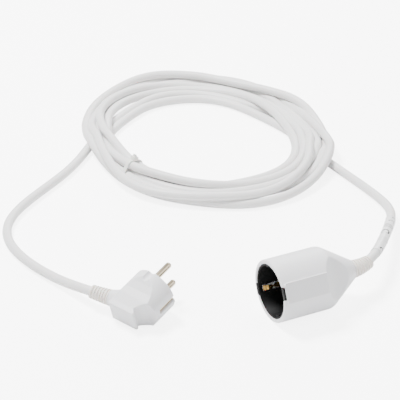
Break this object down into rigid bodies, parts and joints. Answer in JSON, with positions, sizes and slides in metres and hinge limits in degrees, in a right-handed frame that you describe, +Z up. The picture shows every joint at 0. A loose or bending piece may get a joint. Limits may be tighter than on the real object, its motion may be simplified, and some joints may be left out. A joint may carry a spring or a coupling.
{
  "type": "extension cord",
  "caption": "Household extension lead: straight earthed coupler socket, round flexible cord laid in a loose tied coil, and right-angle earthed plug",
  "frame": {"origin": "on the table, under the middle of the coupler housing", "axes": "+X along the coupler from its mouth towards its cord, so the mouth faces -X; +Z up from the table; +Y completes a right-handed frame and points towards the coil"},
  "size_m": [0.3306, 0.4255, 0.049],
  "materials": {
    "shell_white": "satin moulded plastic, cool white",
    "sleeve_white": "soft matte moulding, warm white",
    "cord_white": "smooth satin flexible jacket, white",
    "label_white": "thin glossy film",
    "tie_white": "satin nylon",
    "insert_black": "satin moulded plastic, black",
    "cover_grey": "matte moulded plastic, dark grey",
    "pin_nickel": "nickel plate, slightly warm, fine turned",
    "contact_brass": "plain stamped strip, satin",
    "core_brown": "smooth insulation, brown",
    "core_blue": "smooth insulation, blue",
    "core_green_yellow": "smooth insulation, green with yellow"
  },
  "bodies": {
    "lead": {"coupler_housing": "shell_white", "coupler_insert": "insert_black", "contact_retainer": "cover_grey", "line_contact_upper": "contact_brass", "line_contact_lower": "contact_brass", "earth_bridge": "contact_brass", "coupler_core_live": "core_brown", "coupler_core_neutral": "core_blue", "coupler_core_earth": "core_green_yellow", "coupler_cord_clamp": "cover_grey", "coupler_bend_sleeve": "sleeve_white", "cord_end_coupler": "cord_white", "cord_coupler_tail": "cord_white", "label_wrap": "label_white", "cord_coil": "cord_white", "cable_tie": "tie_white", "cord_plug_tail": "cord_white", "plug_bend_sleeve": "sleeve_white", "cord_end_plug": "cord_white", "plug_housing": "shell_white", "plug_pin_carrier": "shell_white", "plug_pin_upper": "pin_nickel", "plug_pin_lower": "pin_nickel", "plug_earth_bracket": "pin_nickel", "plug_core_live": "core_brown", "plug_core_neutral": "core_blue", "plug_core_earth": "core_green_yellow", "plug_cord_clamp": "cover_grey"},
    "clip_near": {"earth_clip_near": "contact_brass"},
    "clip_far": {"earth_clip_far": "contact_brass"},
    "leaf_upper": {"contact_leaf_upper": "contact_brass"},
    "leaf_lower": {"contact_leaf_lower": "contact_brass"}
  },
  "joints": [
    {"name": "earth_clip_near_flex", "type": "hinge", "parent": "lead", "child": "clip_near", "pos_m": [-0.01395, -0.01749, 0.03266], "axis": [0, 0.4226, 0.9063], "range_deg": [0, 5], "stiffness_Nm_per_rad": 1},
    {"name": "earth_clip_far_flex", "type": "hinge", "parent": "lead", "child": "clip_far", "pos_m": [-0.01395, 0.01749, 0.01634], "axis": [0, -0.4226, -0.9063], "range_deg": [0, 5], "stiffness_Nm_per_rad": 1},
    {"name": "contact_leaf_upper_flex", "type": "hinge", "parent": "lead", "child": "leaf_upper", "pos_m": [-0.00345, 0.00637, 0.03201], "axis": [0, -0.4226, -0.9063], "range_deg": [0, 3.5], "stiffness_Nm_per_rad": 1},
    {"name": "contact_leaf_lower_flex", "type": "hinge", "parent": "lead", "child": "leaf_lower", "pos_m": [-0.00345, -0.00166, 0.01479], "axis": [0, -0.4226, -0.9063], "range_deg": [0, 3.5], "stiffness_Nm_per_rad": 1}
  ]
}
